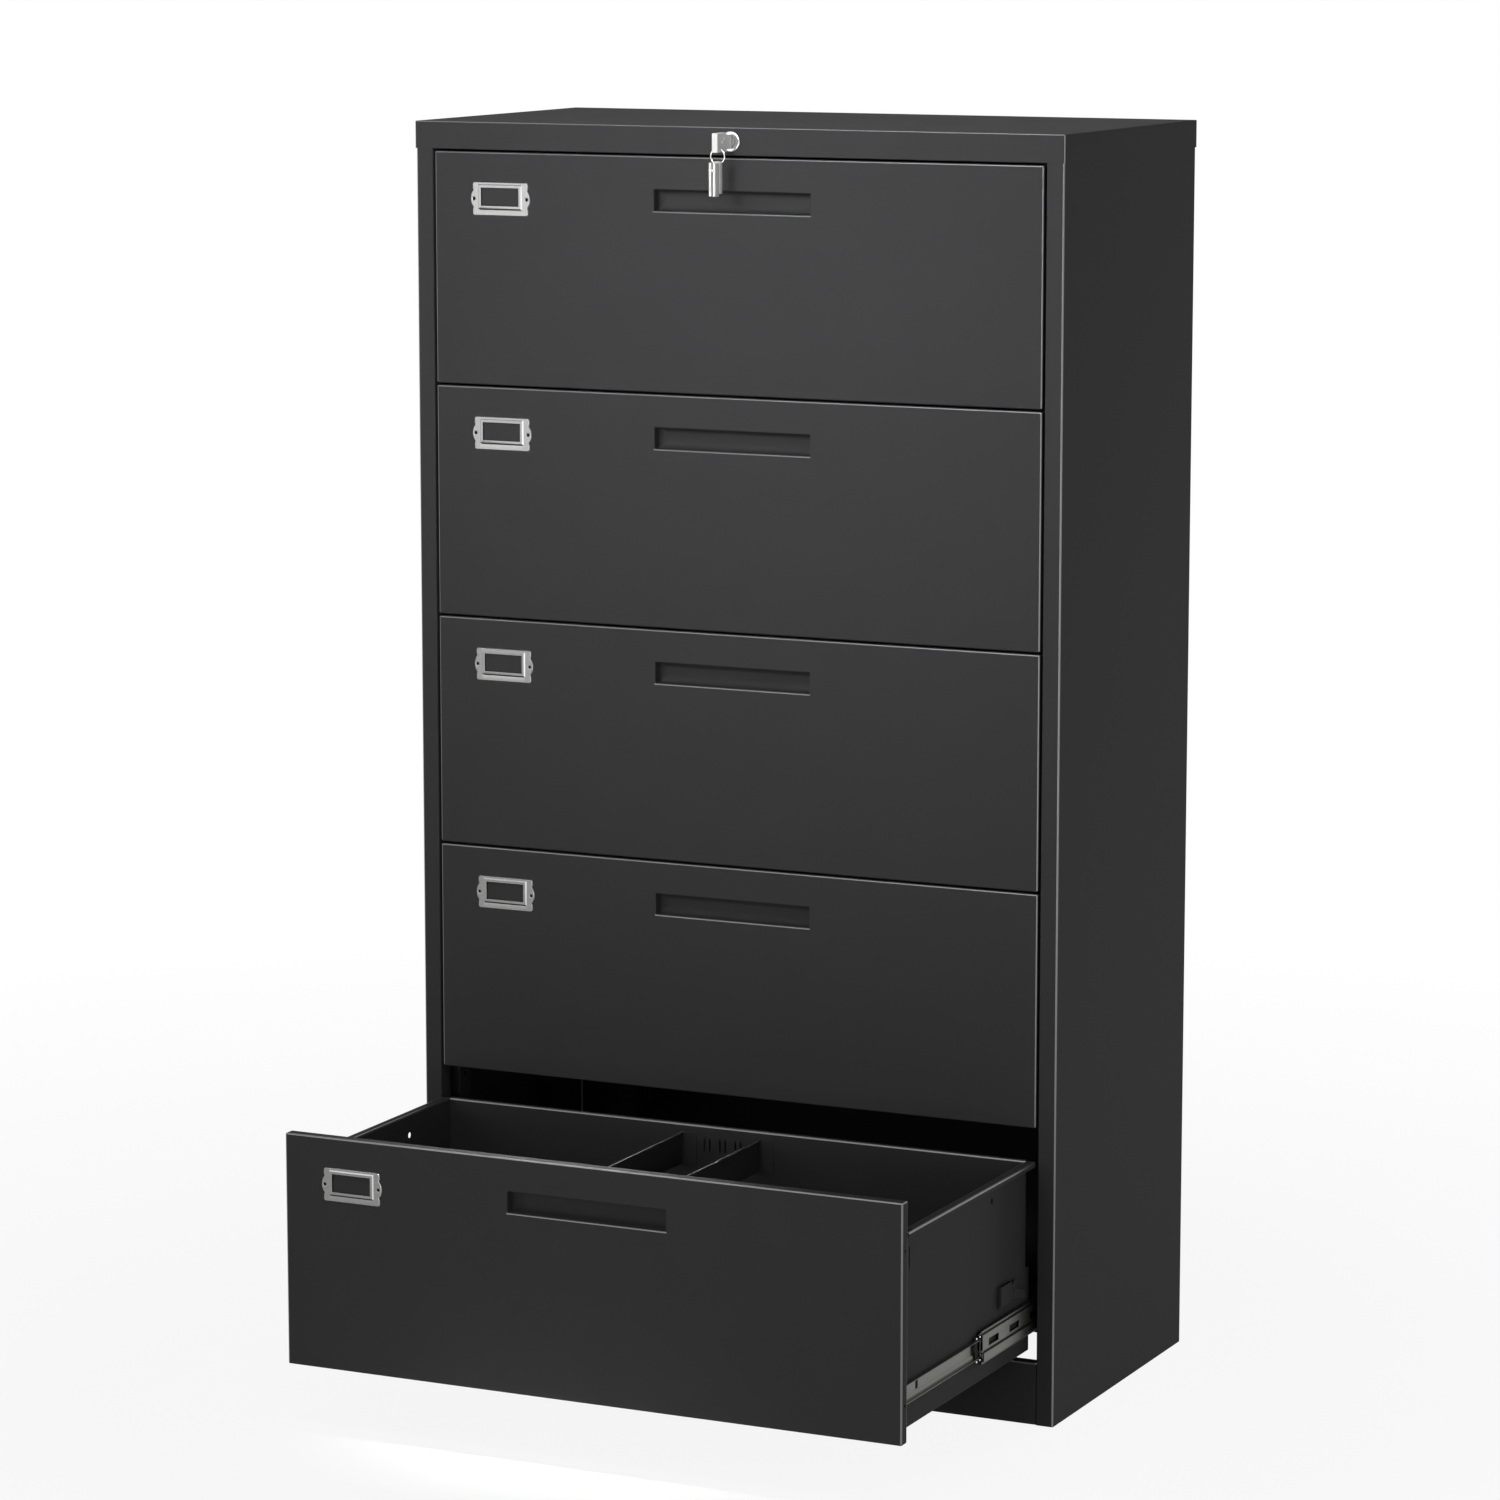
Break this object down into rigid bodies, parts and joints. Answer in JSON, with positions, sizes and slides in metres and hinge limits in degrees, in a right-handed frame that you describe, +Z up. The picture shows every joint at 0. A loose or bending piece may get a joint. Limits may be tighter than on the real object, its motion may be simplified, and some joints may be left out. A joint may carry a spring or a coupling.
{
  "type": "lateral filing cabinet",
  "caption": "Lateral filing cabinet in folded black steel, with full-extension drawers on telescopic slides, recessed pulls, label holders and a keyed lock bar.",
  "frame": {"origin": "on the floor, in the middle of the kick plate's floor flange, 20 mm behind the front plane", "axes": "+Z up, -Y towards the user in front of the drawers, +X to the user's right"},
  "size_m": [0.9, 0.8642, 1.623],
  "materials": {
    "black_coat": "satin black powder coat",
    "zinc_steel": "bright zinc-plated steel",
    "satin_nickel": "satin nickel plate",
    "chrome": "polished chrome plate"
  },
  "bodies": {
    "carcass": {"top_cap": "black_coat", "back_panel": "black_coat", "kick_plate": "black_coat", "rear_base_rail": "black_coat", "side_panel_left": "black_coat", "side_panel_right": "black_coat", "rail_frame_left": "zinc_steel", "rail_frame_right": "zinc_steel", "lock_barrel": "chrome", "lock_nut": "zinc_steel"},
    "drawer_1": {"drawer_1_front": "black_coat", "drawer_1_box": "black_coat", "drawer_1_label_holder": "satin_nickel", "drawer_1_file_bar_left": "black_coat", "drawer_1_file_bar_right": "black_coat", "drawer_1_slide_inner_left": "zinc_steel", "drawer_1_slide_inner_right": "zinc_steel"},
    "drawer_2": {"drawer_2_front": "black_coat", "drawer_2_box": "black_coat", "drawer_2_label_holder": "satin_nickel", "drawer_2_file_bar_left": "black_coat", "drawer_2_file_bar_right": "black_coat", "drawer_2_slide_inner_left": "zinc_steel", "drawer_2_slide_inner_right": "zinc_steel"},
    "drawer_3": {"drawer_3_front": "black_coat", "drawer_3_box": "black_coat", "drawer_3_label_holder": "satin_nickel", "drawer_3_file_bar_left": "black_coat", "drawer_3_file_bar_right": "black_coat", "drawer_3_slide_inner_left": "zinc_steel", "drawer_3_slide_inner_right": "zinc_steel"},
    "drawer_4": {"drawer_4_front": "black_coat", "drawer_4_box": "black_coat", "drawer_4_label_holder": "satin_nickel", "drawer_4_file_bar_left": "black_coat", "drawer_4_file_bar_right": "black_coat", "drawer_4_slide_inner_left": "zinc_steel", "drawer_4_slide_inner_right": "zinc_steel"},
    "drawer_5": {"drawer_5_front": "black_coat", "drawer_5_box": "black_coat", "drawer_5_label_holder": "satin_nickel", "drawer_5_file_bar_left": "black_coat", "drawer_5_file_bar_right": "black_coat", "drawer_5_slide_inner_left": "zinc_steel", "drawer_5_slide_inner_right": "zinc_steel"},
    "runner_1": {"drawer_1_slide_middle_left": "zinc_steel", "drawer_1_slide_middle_right": "zinc_steel"},
    "runner_2": {"drawer_2_slide_middle_left": "zinc_steel", "drawer_2_slide_middle_right": "zinc_steel"},
    "runner_3": {"drawer_3_slide_middle_left": "zinc_steel", "drawer_3_slide_middle_right": "zinc_steel"},
    "runner_4": {"drawer_4_slide_middle_left": "zinc_steel", "drawer_4_slide_middle_right": "zinc_steel"},
    "runner_5": {"drawer_5_slide_middle_left": "zinc_steel", "drawer_5_slide_middle_right": "zinc_steel"},
    "lock_core": {"lock_plug": "chrome", "lock_cam": "zinc_steel"},
    "locking_bar": {"lock_bar": "zinc_steel"},
    "key": {"key": "satin_nickel"}
  },
  "joints": [
    {"name": "drawer_1_slide", "type": "slide", "parent": "carcass", "child": "drawer_1", "axis": [0, -1, 0], "range_m": [0, 0.412]},
    {"name": "drawer_2_slide", "type": "slide", "parent": "carcass", "child": "drawer_2", "axis": [0, -1, 0], "range_m": [0, 0.412]},
    {"name": "drawer_3_slide", "type": "slide", "parent": "carcass", "child": "drawer_3", "axis": [0, -1, 0], "range_m": [0, 0.412]},
    {"name": "drawer_4_slide", "type": "slide", "parent": "carcass", "child": "drawer_4", "axis": [0, -1, 0], "range_m": [0, 0.412]},
    {"name": "drawer_5_slide", "type": "slide", "parent": "carcass", "child": "drawer_5", "axis": [0, -1, 0], "range_m": [-0.412, 0]},
    {"name": "runner_1_slide", "type": "slide", "parent": "carcass", "child": "runner_1", "axis": [0, -1, 0], "range_m": [0, 0.206]},
    {"name": "runner_2_slide", "type": "slide", "parent": "carcass", "child": "runner_2", "axis": [0, -1, 0], "range_m": [0, 0.206]},
    {"name": "runner_3_slide", "type": "slide", "parent": "carcass", "child": "runner_3", "axis": [0, -1, 0], "range_m": [0, 0.206]},
    {"name": "runner_4_slide", "type": "slide", "parent": "carcass", "child": "runner_4", "axis": [0, -1, 0], "range_m": [0, 0.206]},
    {"name": "runner_5_slide", "type": "slide", "parent": "carcass", "child": "runner_5", "axis": [0, -1, 0], "range_m": [-0.206, 0]},
    {"name": "lock_bar_drop", "type": "slide", "parent": "carcass", "child": "locking_bar", "axis": [0, 0, -1], "range_m": [0, 0.012]},
    {"name": "lock_turn", "type": "hinge", "parent": "carcass", "child": "lock_core", "pos_m": [0, -0.02, 1.6055], "axis": [0, 1, 0], "range_deg": [0, 90]},
    {"name": "key_pull", "type": "slide", "parent": "lock_core", "child": "key", "axis": [0, -1, 0], "range_m": [0, 0.03]}
  ],
  "couplings": [
    {"joint": "runner_1_slide", "follows": "drawer_1_slide", "ratio": 0.5},
    {"joint": "runner_2_slide", "follows": "drawer_2_slide", "ratio": 0.5},
    {"joint": "runner_3_slide", "follows": "drawer_3_slide", "ratio": 0.5},
    {"joint": "runner_4_slide", "follows": "drawer_4_slide", "ratio": 0.5},
    {"joint": "runner_5_slide", "follows": "drawer_5_slide", "ratio": 0.5},
    {"joint": "lock_turn", "follows": "lock_bar_drop", "rad_per_m": 130.9}
  ]
}
